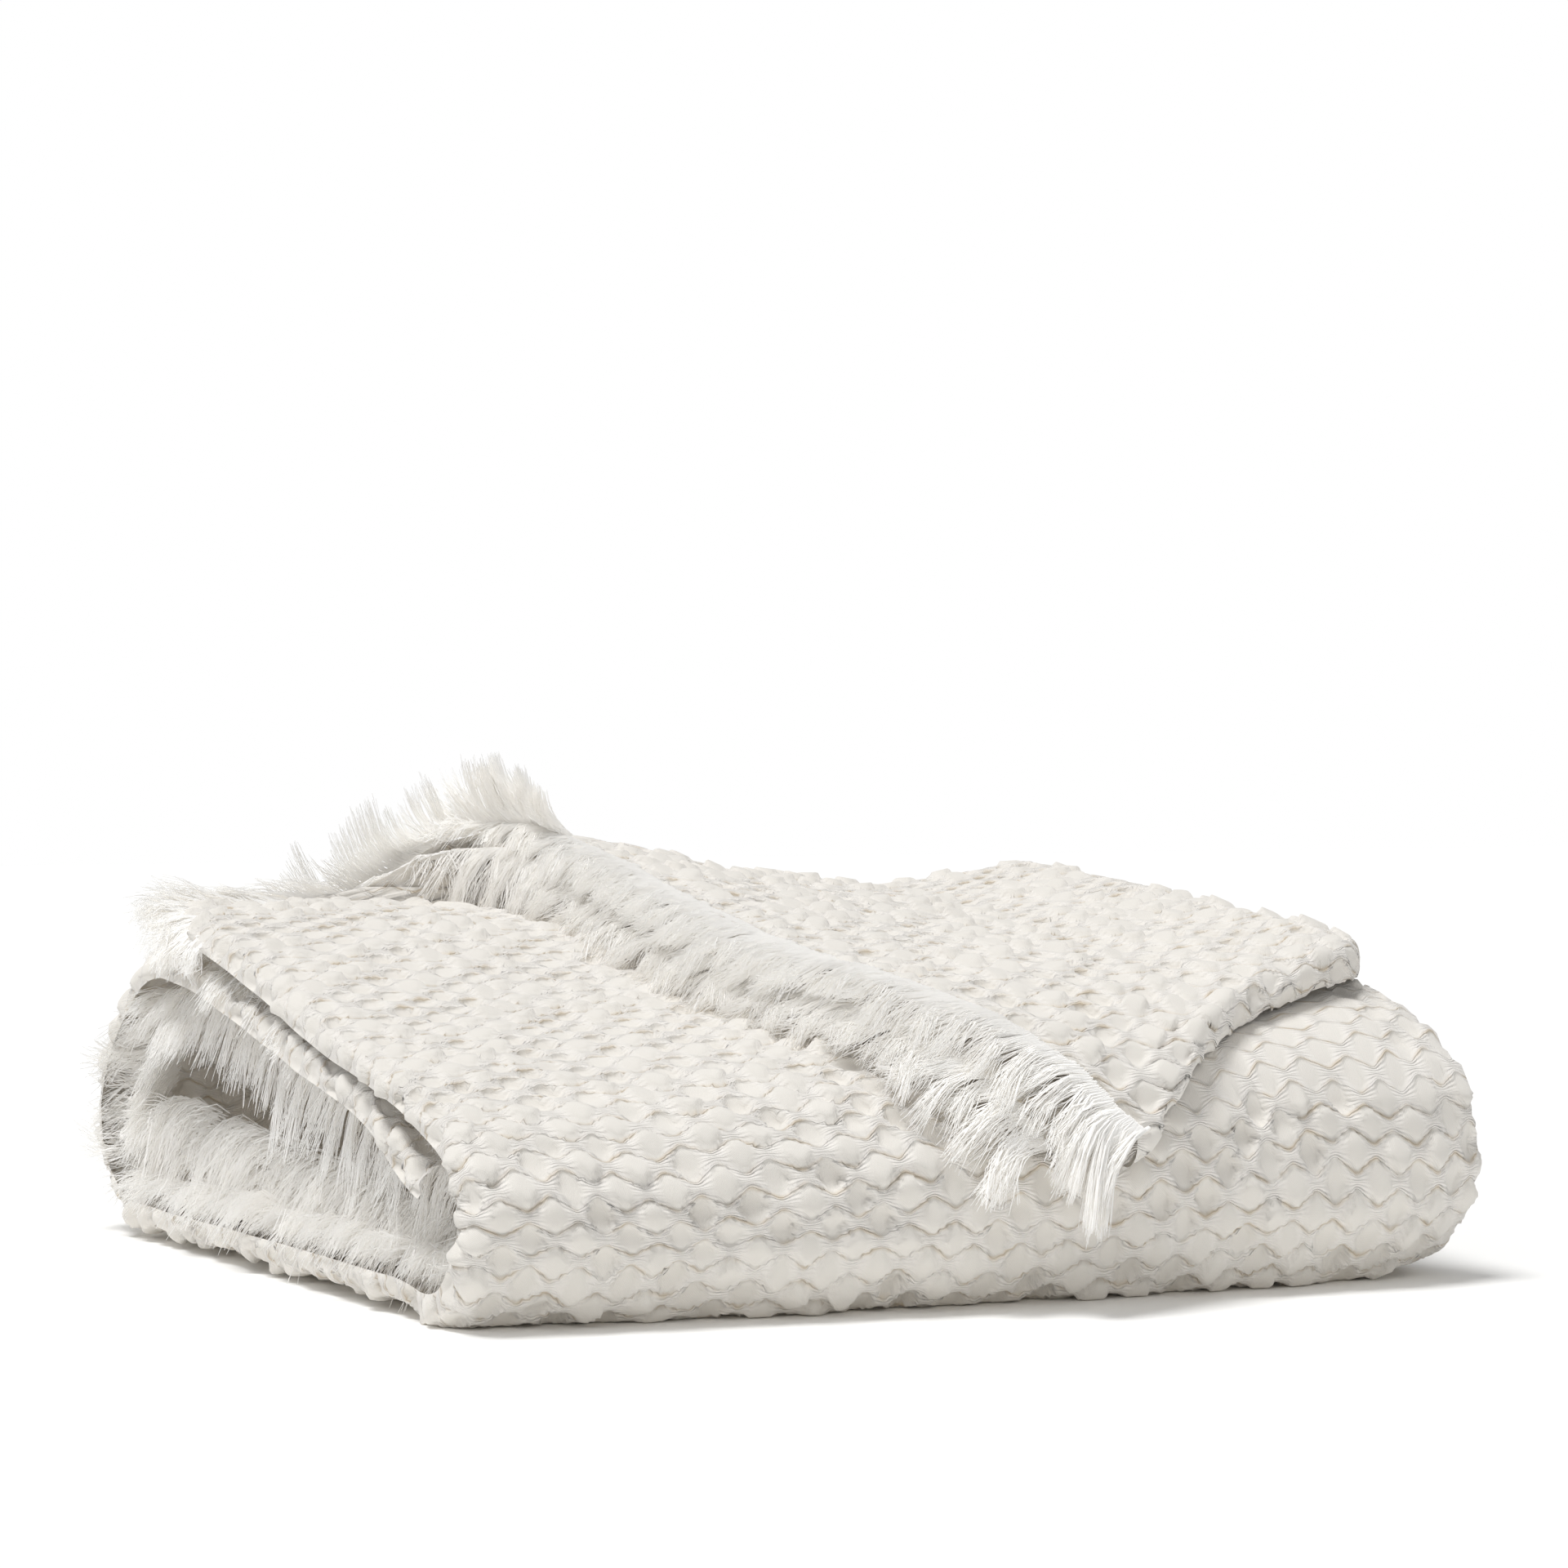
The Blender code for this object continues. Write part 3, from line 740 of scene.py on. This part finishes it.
# %% How threads gather, stray and wave, in metres unless it is a share
THREAD = 0.00037         # radius of a thread at its root
LENGTHS = (0.92, 0.25, 0.28, 0.20)      # mean share of the length, and its spread by clump, wisp and thread
CLUMP_PULL = 0.28        # share of the way that a thread is drawn to its clump's middle
WISP_PULL = 0.42         # and to its wisp's
PULLED_BY = 0.7          # share of its length where it is there
LEANS = (0.018, 0.024)   # sideways spread of the clumps' tips and the wisps'
RISES = (0.007, 0.009)   # and their spread off the ply
STRAY = 0.0110           # a single thread's own spread sideways
STRAY_UP = 0.0080        # and off the ply
WAVE_LEAST = 0.0010      # a thread waves by this much
WAVE_MORE = 0.0036       # and up to this much more
TURNS_LEAST = 4          # radians that its wave turns by from root to tip
TURNS_MORE = 6           # and up to this much more
SLOWING = 0.12           # share of the reach that a thread loses by bending
PATH_STEP = 0.02         # share of the length to each side, to find which way a thread runs
THREAD_FLOOR = 0.0006    # no thread goes lower


def fringe(name, rows, side, first, last, per_mm, salt, uneven=1.0, loft=1.0):
    """Threads along one edge of the cloth between two rows of the spine.

    side is -1 for the inner ply's edge and 1 for the outer ply's, per_mm is threads for
    each millimetre of edge, and salt picks the random numbers.  uneven scales how ragged
    and clumped the threads are, and loft how far they stray off the ply.
    """
    def draw(of, number):
        """A random number for each thread, wisp or clump; number tells the draws apart."""
        return noise(of, number, salt)

    start, stop = distance_at((first, last))
    count = int((stop - start) * 1000 * per_mm)
    mesh = thread_copies(count)
    local = np.empty(len(mesh.vertices) * 3)
    mesh.vertices.foreach_get("co", local)
    local = local.reshape(-1, 3)
    c = np.round(local[:, 0] / APART).astype(int)      # the thread, or copy, that each vertex is on

    each = np.arange(count)
    along, clump, wisp = thread_places(start, stop, each, draw)
    root, outward, beside, off = thread_roots(side, along, each, clump, draw)
    to_clump = (clump + 0.5) * CLUMP - along
    to_wisp = (wisp + 0.5) * WISP - along

    table = np.array(rows, float)
    t = row_at(along)
    reach, lift, drop, height = (np.interp(t, table[:, 0], table[:, k] / 1000) for k in (1, 2, 3, 4))
    root = root + off * (height * (0.5 + draw(each, 12)))[:, None]
    length = LENGTHS[0] + uneven * (LENGTHS[1] * (draw(clump, 2) - 0.5) + LENGTHS[2] * (draw(wisp, 2) - 0.5)
                                    + LENGTHS[3] * (draw(each, 3) - 0.5))
    lean = LEANS[0] * (draw(clump, 5) - 0.5) + LEANS[1] * (draw(wisp, 5) - 0.5)
    rise = RISES[0] * (draw(clump, 6) - 0.4) + RISES[1] * (draw(wisp, 6) - 0.3)
    stray = STRAY * (draw(each, 7) - 0.5)
    stray_up = STRAY_UP * (draw(each, 8) - 0.4)
    wave = WAVE_MORE * draw(each, 9) + WAVE_LEAST
    phase = 2 * pi * draw(wisp, 10) + 2.0 * draw(each, 10)
    turns = TURNS_LEAST + TURNS_MORE * draw(wisp, 14)

    def path(u):
        """Centre line of every vertex's thread at share u of its length."""
        pulled = uneven * smooth(u / PULLED_BY) * (CLUMP_PULL * to_clump[c] + WISP_PULL * to_wisp[c])
        side_way = pulled + lean[c] * u ** 2 + stray[c] * u + wave[c] * np.sin(phase[c] + turns[c] * u) * u
        off_way = (lift[c] * (1 - (1 - u) ** 2) + loft * (rise[c] + stray_up[c]) * u
                   + wave[c] * np.cos(phase[c] + turns[c] * u) * u) * length[c]
        out_way = reach[c] * length[c] * (u - SLOWING * u ** 3)
        place = (root[c] + outward[c] * out_way[:, None] + beside[c] * side_way[:, None]
                 + off[c] * off_way[:, None])
        place[:, 2] -= drop[c] * length[c] * u ** 2
        return place

    # every ring of the tube stands square to its thread's path
    up = local[:, 2]
    ahead = unit(path(up + PATH_STEP) - path(up - PATH_STEP))
    ring_x = unit(np.cross(ahead, beside[c]))
    ring_y = np.cross(ahead, ring_x)
    x = (local[:, 0] - APART * c) * THREAD
    y = local[:, 1] * THREAD
    bent = path(up) + ring_x * x[:, None] + ring_y * y[:, None]
    bent[:, 2] = np.maximum(bent[:, 2], THREAD_FLOOR)
    mesh.vertices.foreach_set("co", bent.astype(np.float32).ravel())
    mesh.update()
    mesh.name = name
    print(name, count, "threads", triangles(mesh), "triangles")
    return add_object(name, mesh)


# %% Fringe of the lower sections and of the last one
lower_fringes = [
    fringe("fringe_in_the_hollow", INNER_FRINGE, -1, 0.3, 13.8, 5.0, 1, uneven=1.3),
    fringe("fringe_over_the_curl", CURL_FRINGE, -1, 4.2, 13.6, 5.5, 5, uneven=1.3),
    fringe("fringe_at_the_left_corner", LEFT_FRINGE, 1, 21.9, 25.1, 8.0, 8),
    fringe("fringe_under_the_top", INNER_FRINGE, -1, 13.6, 28.0, 7.0, 2, uneven=1.4),
]
last_fringes = [
    fringe("fringe_standing_on_the_fold", PEAK_FRINGE, -1, 23.7, 29.0, 26.0, 9, uneven=0.4),
    fringe("fringe_last_section", INNER_FRINGE, -1, 28.0, 36.0, 11.0, 3, uneven=1.1, loft=0.45),
    fringe("fringe_below_it", OUTER_FRINGE, 1, 25.8, 35.98, 9.5, 4, uneven=1.2, loft=0.35),
    fringe("corner_tassel", CORNER_TASSEL, -1, 35.72, 35.98, 60.0, 6),
]
fringes = lower_fringes + last_fringes
print(len(fringes), "pieces of fringe")

# %% [markdown]
# ## Camera
# A folded throw shows both its top and its layers from a little above its own height.
# A short lens close by would make the near corner too big, so the camera has a long
# lens and stands well back.  It is level, so upright lines stay upright, and a small
# lens shift puts the throw in the middle of the view instead of a tilt.

# %% Camera
CAMERA_AT = Vector((-0.5716, -1.7922, 0.2635)) - Vector(REST)
CAMERA_TURN = 22.3       # degrees to the right of +Y
LENS = 99                # millimetres, and so is the sensor's width
SENSOR = 36
LENS_SHIFT = -0.0375     # share of the view's width; the minus is downward

camera = add_object("camera", bpy.data.cameras.new("camera"))
camera.location = CAMERA_AT
camera.rotation_euler = (radians(90), 0, -radians(CAMERA_TURN))
camera.data.lens = LENS
camera.data.sensor_width = SENSOR
camera.data.shift_y = LENS_SHIFT
bpy.context.scene.camera = camera
print("camera", round(CAMERA_AT.length, 2), "m from the throw")

# %% [markdown]
# ## Materials
# A material in Blender is a tree of nodes.  A tree can be wired by hand in the editor
# or in code, and code is easier to repeat and to read again.  One function here adds
# any node: it sets the node's own settings, and gives each input that is listed a
# number, a colour or another node's output.


# %% Colours, nodes and materials
def colour(hex_code):
    """An sRGB hex value as linear red, green, blue and alpha."""
    parts = [int(hex_code[i:i + 2], 16) / 255 for i in (0, 2, 4)]
    return tuple(c / 12.92 if c <= 0.04045 else ((c + 0.055) / 1.055) ** 2.4 for c in parts) + (1.0,)


def node(owner, kind, inputs=(), **settings):
    """A node with its settings; inputs are (input, value) pairs, and a value may be a socket."""
    made = owner.node_tree.nodes.new(kind)
    for key, value in settings.items():
        setattr(made, key, value)
    for key, value in inputs:
        if isinstance(value, bpy.types.NodeSocket):
            owner.node_tree.links.new(value, made.inputs[key])
        else:
            made.inputs[key].default_value = value
    return made


def new_material(name, hex_code, look):
    """A material in one colour, with the look set on its shader's own inputs."""
    material = bpy.data.materials.new(name)
    material.use_nodes = True
    shader = material.node_tree.nodes["Principled BSDF"]
    shader.inputs["Base Color"].default_value = colour(hex_code)
    for key, value in look.items():
        shader.inputs[key].default_value = value
    return material, shader


print("mid grey 808080 is", round(colour("808080")[0], 3), "in linear light")

# %% [markdown]
# ## Honeycomb cotton
# The cloth is undyed cotton, woven and then washed until it puckers.  To the eye it is
# matt and soft, so it is rough, with a little sheen for its fluff.  A pad is plain
# weave and looks smooth; the bundles between pads are loose threads, so they are
# whiter and furrier.  The grooves get painted shade: a warm darker tone in their
# colour, in patches, stands in for the shade and the warm bounced light in grooves
# that the mesh is too coarse to shade.  An image texture could carry all that, but it
# would blur up close and would have to be lined up with the relief.  The pattern is
# worked out from the cloth's own UV map instead, which holds its flat coordinates, so
# it meets the modelled relief exactly.  It is arithmetic, so it is written as a list
# of steps, one Math node each.

# %% Sizes and tones of the pattern
PAD_TONE = "EAE6DF"
BUNDLE_TONE = "F3EFE9"
# painted shade: a warm darker tone in the grooves' colour stands in for their shade and bounced light
PAINTED_SHADE_TONE = "C4AB7E"
PAINTED_SHADE_SHARE = 0.62       # strongest share of the painted groove shade
SHADE_AND_DIP_REACH = 0.0016      # metres from a groove's middle to where its painted shade and its fine dip end
SHADE_AND_DIP_POWER = 1.4         # how quickly it fades on the way
EDGE_REACH = 0.0022      # metres over which a pad's edge rounds off
EDGE_RISE = 0.0005
PAD_SPREAD = 1.33        # these two set how much of a row is pad
PAD_LEVEL = 0.56
GROOVE_DIP = 0.0006      # depth of the fine line in a groove's middle
THREAD_SPACING = 0.0018  # loose threads of a bundle, as coarse as they need to be to show
THREAD_RISE = 0.00017
WEAVE_PITCH = 0.0009     # plain weave of a pad, as coarse as the eye can still see it
WEAVE_RISE = 0.00005
FLUFF_SCALE = 900        # a tuft of fluff is about 1.1 mm
FLUFF_RISE = 0.00010
FLUFF_ON_PADS = 0.2      # a pad has this share of a bundle's fluff
PATCH_SCALE = 70         # a patch of deeper painted shade is about 14 mm
PATCH_CONTRAST = 4.0
PATCH_CUT = 1.6          # the palest patches have no painted shade at all
PATCH_ROUNDING = 0.2     # how softly the patches meet full painted shade
MASK_ROUNDING = 0.1      # how softly the pad mask meets 0 and 1
print("a row's half holds", round(ROW / 2 / THREAD_SPACING, 1), "loose threads")

# %% The pattern, step by step
PATTERN_STEPS = (
    # name, operation, inputs: each is a number or the name of an earlier step
    # the flat place, in metres
    ("across", "MULTIPLY_ADD", "u", flat_length, -CUT_WIDTH / 2),
    ("along", "MULTIPLY", "v", flat_length),
    # the grooves' swing here, from -1 to 1
    ("turn", "MULTIPLY", "across", 2 * pi / CELL),
    ("swing_1", "COSINE", "turn"),
    ("turn_3", "MULTIPLY", "across", 6 * pi / CELL),
    ("cosine_3", "COSINE", "turn_3"),
    ("swing_3", "MULTIPLY", "cosine_3", POINT),
    ("both_swings", "ADD", "swing_1", "swing_3"),
    ("swing", "DIVIDE", "both_swings", 1 + POINT),
    # the row that this point is in, and its distance from the groove
    ("half_row", "MULTIPLY_ADD", "swing", WAVE, ROW / 2),
    ("from_even", "PINGPONG", "along", ROW),
    ("in_even", "LESS_THAN", "from_even", "half_row"),
    ("sign", "MULTIPLY_ADD", "in_even", 2.0, -1.0),
    ("past_groove", "SUBTRACT", "from_even", "half_row"),
    ("to_groove", "ABSOLUTE", "past_groove"),
    # the line of the groove, 1 in its middle
    ("groove_way", "DIVIDE", "to_groove", SHADE_AND_DIP_REACH),
    ("groove_end", "MINIMUM", "groove_way", 1.0),
    ("groove_line", "SUBTRACT", 1.0, "groove_end"),
    ("groove", "POWER", "groove_line", SHADE_AND_DIP_POWER),
    # 0 at the groove and 1 in the middle of the row
    ("even_half", "MULTIPLY", "in_even", "half_row"),
    ("in_odd", "SUBTRACT", 1.0, "in_even"),
    ("other_half", "SUBTRACT", ROW, "half_row"),
    ("odd_half", "MULTIPLY", "in_odd", "other_half"),
    ("own_half", "ADD", "even_half", "odd_half"),
    ("share", "DIVIDE", "to_groove", "own_half"),
    ("from_middle", "SUBTRACT", 1.0, "share"),
    # the pad mask: 1 on a pad, 0 on a bundle
    ("own_swing", "MULTIPLY", "swing", "sign"),
    ("middle_square", "MULTIPLY", "from_middle", "from_middle"),
    ("narrowing", "MULTIPLY_ADD", "middle_square", -1.0, PAD_LEVEL),
    ("pad_way", "MULTIPLY_ADD", "own_swing", PAD_SPREAD, "narrowing"),
    ("pad_from_0", "SMOOTH_MAX", "pad_way", 0.0, MASK_ROUNDING),
    ("pad", "SMOOTH_MIN", "pad_from_0", 1.0, MASK_ROUNDING),
    ("bundle", "SUBTRACT", 1.0, "pad"),
    # loose threads that run along a bundle
    ("thread_turn", "MULTIPLY", "share", 2 * pi * ROW / 2 / THREAD_SPACING),
    ("thread_wave", "SINE", "thread_turn"),
    ("thread_height", "MULTIPLY", "thread_wave", THREAD_RISE),
    ("threads", "MULTIPLY", "thread_height", "bundle"),
    # the plain weave
    ("warp_turn", "MULTIPLY", "across", 2 * pi / WEAVE_PITCH),
    ("warp", "SINE", "warp_turn"),
    ("weft_turn", "MULTIPLY", "along", 2 * pi / WEAVE_PITCH),
    ("weft", "SINE", "weft_turn"),
    ("crossing", "MULTIPLY", "warp", "weft"),
    ("plain", "MULTIPLY", "crossing", WEAVE_RISE),
    # fluff, mostly on the bundles
    ("fluff_height", "MULTIPLY", "fluff", FLUFF_RISE),
    ("fluff_share", "MULTIPLY_ADD", "bundle", 1 - FLUFF_ON_PADS, FLUFF_ON_PADS),
    ("fuzz", "MULTIPLY", "fluff_height", "fluff_share"),
    # the rounded edge of a pad
    ("edge_way", "DIVIDE", "to_groove", EDGE_REACH),
    ("edge_end", "MINIMUM", "edge_way", 1.0),
    ("edge_height", "MULTIPLY", "edge_end", EDGE_RISE),
    ("edge", "MULTIPLY", "edge_height", "pad"),
    # all heights together, for the bump
    ("dip", "MULTIPLY", "groove", -GROOVE_DIP),
    ("dip_and_edge", "ADD", "dip", "edge"),
    ("threads_and_weave", "ADD", "threads", "plain"),
    ("without_fuzz", "ADD", "dip_and_edge", "threads_and_weave"),
    ("height", "ADD", "without_fuzz", "fuzz"),
    # the groove's painted shade, in patches
    ("patch_way", "MULTIPLY_ADD", "patches", PATCH_CONTRAST, -PATCH_CUT),
    ("patch", "SMOOTH_MIN", "patch_way", 1.0, PATCH_ROUNDING),
    ("patched", "MULTIPLY", "groove", "patch"),
    ("painted_shade_mask", "MAXIMUM", "patched", 0.0),
    ("painted_shade", "MULTIPLY", "painted_shade_mask", PAINTED_SHADE_SHARE),
)
print(len(PATTERN_STEPS), "steps")

# %% Woven cotton
COTTON_LOOK = {"Roughness": 0.92, "Sheen Weight": 0.25, "Sheen Roughness": 0.6, "Specular IOR Level": 0.2}

cotton, cotton_shader = new_material("woven_cotton", PAD_TONE, COTTON_LOOK)
uv_map = node(cotton, "ShaderNodeUVMap", uv_map="weave")
flat = node(cotton, "ShaderNodeSeparateXYZ", [("Vector", uv_map.outputs["UV"])])
in_space = node(cotton, "ShaderNodeTexCoord").outputs["Object"]
fluff = node(cotton, "ShaderNodeTexNoise", [("Vector", in_space), ("Scale", FLUFF_SCALE), ("Detail", 4)])
# noise patches that decide where the grooves' painted shade is deeper
patches = node(cotton, "ShaderNodeTexNoise", [("Vector", in_space), ("Scale", PATCH_SCALE)])
socket_of = {"u": flat.outputs["X"], "v": flat.outputs["Y"],
             "fluff": fluff.outputs["Fac"], "patches": patches.outputs["Fac"]}
for name, operation, *values in PATTERN_STEPS:
    inputs = [(k, socket_of[v] if isinstance(v, str) else v) for k, v in enumerate(values)]
    socket_of[name] = node(cotton, "ShaderNodeMath", inputs, operation=operation, label=name).outputs[0]
print("woven_cotton has", len(cotton.node_tree.nodes), "nodes so far")

# %% Its bump, its tones and its painted groove shade
# the heights are in metres, so the bump has its full strength over a distance of 1
FACTOR = 0               # a Mix node lists the sockets of every data type: these are for colours
FIRST = 6
SECOND = 7
MIXED = 2

bump = node(cotton, "ShaderNodeBump", [("Height", socket_of["height"]), ("Strength", 1.0), ("Distance", 1.0)])
tone = node(cotton, "ShaderNodeMix", data_type="RGBA",
            inputs=[(FACTOR, socket_of["pad"]), (FIRST, colour(BUNDLE_TONE)), (SECOND, colour(PAD_TONE))])
# the grooves' painted shade is mixed over the weave's own tones
painted_shade_mix = node(cotton, "ShaderNodeMix", data_type="RGBA",
            inputs=[(FACTOR, socket_of["painted_shade"]), (FIRST, tone.outputs[MIXED]), (SECOND, colour(PAINTED_SHADE_TONE))])
cotton.node_tree.links.new(painted_shade_mix.outputs[MIXED], cotton_shader.inputs["Base Color"])
cotton.node_tree.links.new(bump.outputs["Normal"], cotton_shader.inputs["Normal"])
for piece in (lower_cloth, last_cloth):
    piece.data.materials.append(cotton)
print(cotton.name, len(cotton.node_tree.nodes), "nodes")

# %% [markdown]
# ## Fluffed cotton yarn
# The fringe is the same undyed cotton, left unwoven and brushed up by washing, so it
# looks a little whiter than the cloth, quite matt, and bright at its rims.  A hair
# shader would need real hair, and Subsurface, which lets light through, makes tubes
# as thin as these darker.  Here the threads are modelled one by one, so their shape
# gives the detail, and the finish is a rough near-white with more sheen than the
# cloth.  The tones between the threads come from light that bounces among them.

# %% Fluffed cotton yarn
YARN_LOOK = {"Roughness": 0.9, "Sheen Weight": 0.5, "Sheen Roughness": 0.6, "Specular IOR Level": 0.2}
YARN_TONE = "FFFEFC"

yarn = new_material("fluffed_cotton_yarn", YARN_TONE, YARN_LOOK)[0]
for piece in fringes:
    piece.data.materials.append(yarn)
print(yarn.name, "on", len(fringes), "pieces")

# %% [markdown]
# ## Floor and light
# A throw on a plain pale ground needs a floor only to catch its soft shadow.  Area
# lamps would give soft light too, but suns with a wide angle stay even over the whole
# object and keep their strength whatever its size: a strong one from overhead gives
# the form, and a weak wide one lifts the left end.  The rest comes from a white
# studio all round.  The camera sees that studio as full white and the object gets
# less of it, so the backdrop has no horizon and the relief keeps its shading.  White
# threads pass light on many times, so the light may bounce more often than usual.

# %% Floor
FLOOR_REACH = 6          # metres from the middle to each side
FLOOR_TONE = "FDFDFC"    # matt white board, which gives back no reflection

floor_mesh = bmesh.new()
bmesh.ops.create_grid(floor_mesh, x_segments=1, y_segments=1, size=FLOOR_REACH)
floor_data = bpy.data.meshes.new("floor")
floor_mesh.to_mesh(floor_data)
floor_mesh.free()
floor = add_object("floor", floor_data)
floor.data.materials.append(new_material("pale_floor", FLOOR_TONE, {"Roughness": 0.9})[0])
print("floor", 2 * FLOOR_REACH, "m square")

# %% Lights, each with the direction it shines from, its angle in degrees and its strength
LIGHTS = (
    ("overhead", (-0.30, -0.03, 1.0), 20, 2.15),
    ("left_fill", (-1.0, -0.7, 0.5), 70, 0.17),
)
for name, towards, angle, strength in LIGHTS:
    lamp = bpy.data.lights.new(name, "SUN")
    lamp.angle = radians(angle)
    lamp.energy = strength
    light = add_object(name, lamp)
    light.rotation_euler = Vector(towards).to_track_quat("Z", "Y").to_euler()
    print("light", name, strength)

# %% The white studio
SKY_LIGHT = 0.42         # its light on the object; the camera sees it as full white
DIFFUSE_BOUNCES = 16
ALL_BOUNCES = 20

world = bpy.data.worlds.new("studio")
world.use_nodes = True
sky = world.node_tree.nodes["Background"]
sky.inputs["Color"].default_value = (1, 1, 1, 1)
seen = node(world, "ShaderNodeLightPath").outputs["Is Camera Ray"]
sky_strength = node(world, "ShaderNodeMapRange", [("Value", seen), ("To Min", SKY_LIGHT), ("To Max", 1.0)])
world.node_tree.links.new(sky_strength.outputs["Result"], sky.inputs["Strength"])
bpy.context.scene.world = world
bpy.context.scene.view_settings.view_transform = "Standard"
bpy.context.scene.cycles.diffuse_bounces = DIFFUSE_BOUNCES
bpy.context.scene.cycles.max_bounces = ALL_BOUNCES
print("studio light", SKY_LIGHT)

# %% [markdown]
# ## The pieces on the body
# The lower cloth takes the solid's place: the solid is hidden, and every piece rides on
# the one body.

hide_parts("blanket")
for piece in (lower_cloth, last_cloth, *fringes):
    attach(piece, "root")
print(2 + len(fringes), "pieces")

# %% Finish
bpy.context.view_layer.update()
